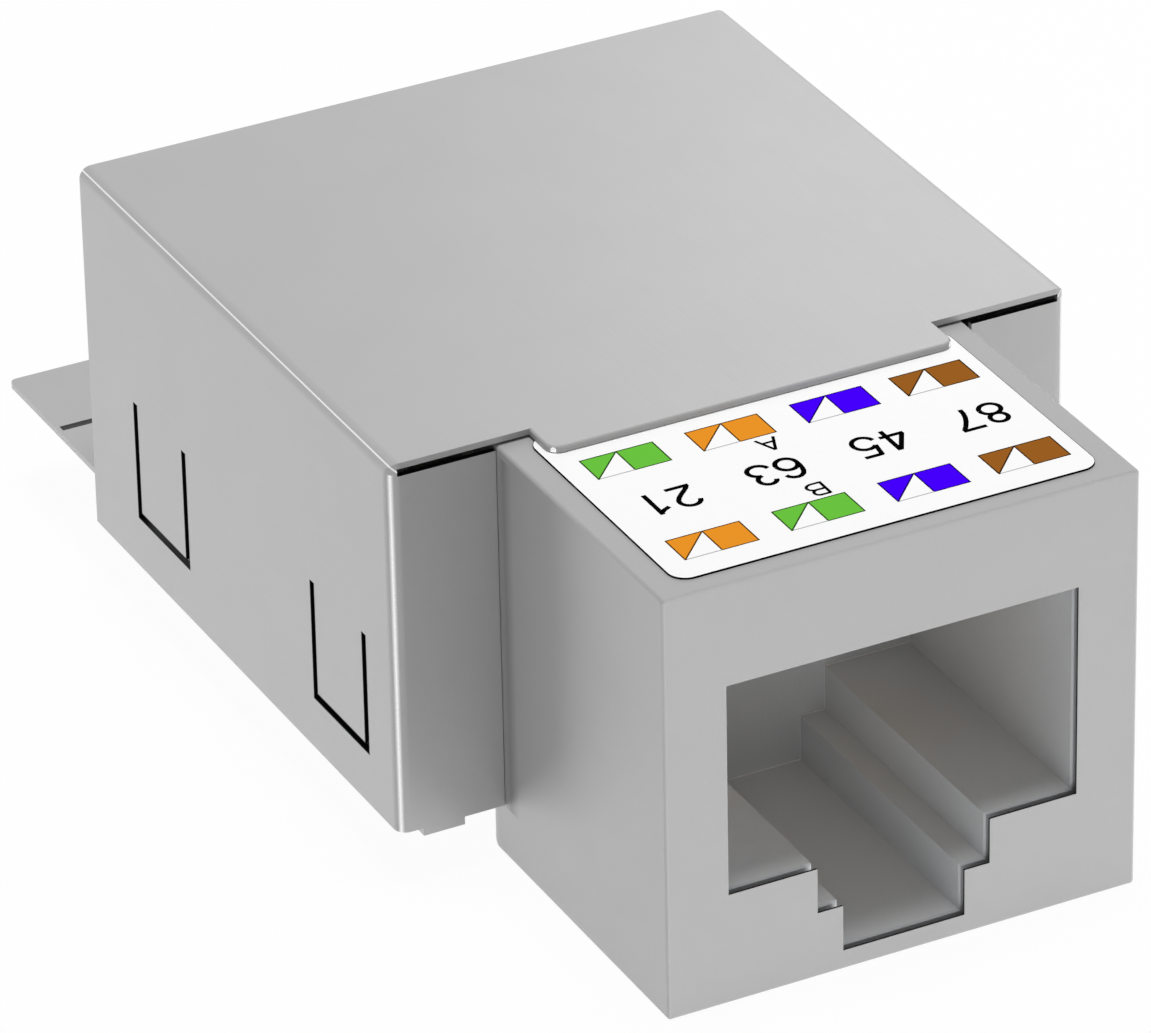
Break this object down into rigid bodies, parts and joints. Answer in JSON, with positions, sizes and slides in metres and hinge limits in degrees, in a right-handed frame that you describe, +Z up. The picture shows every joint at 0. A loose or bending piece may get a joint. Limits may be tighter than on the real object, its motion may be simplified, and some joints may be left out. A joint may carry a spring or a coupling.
{
  "type": "modular jack module",
  "caption": "Shielded modular jack module: a square front block with the plug port, a folded sheet shield with sprung side tabs, and a cable tongue behind.",
  "frame": {"origin": "under the middle of the part, on the plane of the front block's underside", "axes": "+X across the part, +Y from the plug face towards the cable end, +Z up, out of the wiring label"},
  "size_m": [0.0232, 0.0398, 0.0147],
  "materials": {
    "cover_sheet": "satin nickel-plated sheet",
    "tray_sheet": "satin nickel-plated sheet",
    "housing_metal": "satin die-cast metal, nickel plated",
    "insert_plastic": "matt moulded plastic",
    "board_laminate": "green solder resist over glass laminate",
    "terminal_plastic": "matt moulded plastic",
    "label_paper": "smooth printed label",
    "spring_gold": "gold plated spring strip",
    "fork_metal": "tin plated bronze"
  },
  "bodies": {
    "root": {"circuit_board": "board_laminate", "contact_spring_1": "spring_gold", "contact_spring_2": "spring_gold", "contact_spring_3": "spring_gold", "contact_spring_4": "spring_gold", "contact_spring_5": "spring_gold", "contact_spring_6": "spring_gold", "contact_spring_7": "spring_gold", "contact_spring_8": "spring_gold", "fork_contact_1": "fork_metal", "fork_contact_2": "fork_metal", "fork_contact_3": "fork_metal", "fork_contact_4": "fork_metal", "fork_contact_5": "fork_metal", "fork_contact_6": "fork_metal", "fork_contact_7": "fork_metal", "fork_contact_8": "fork_metal", "jack_housing": "housing_metal", "port_insert": "insert_plastic", "shield_cover": "cover_sheet", "shield_tray": "tray_sheet", "terminal_block": "terminal_plastic", "wiring_label": "label_paper"}
  },
  "joints": []
}
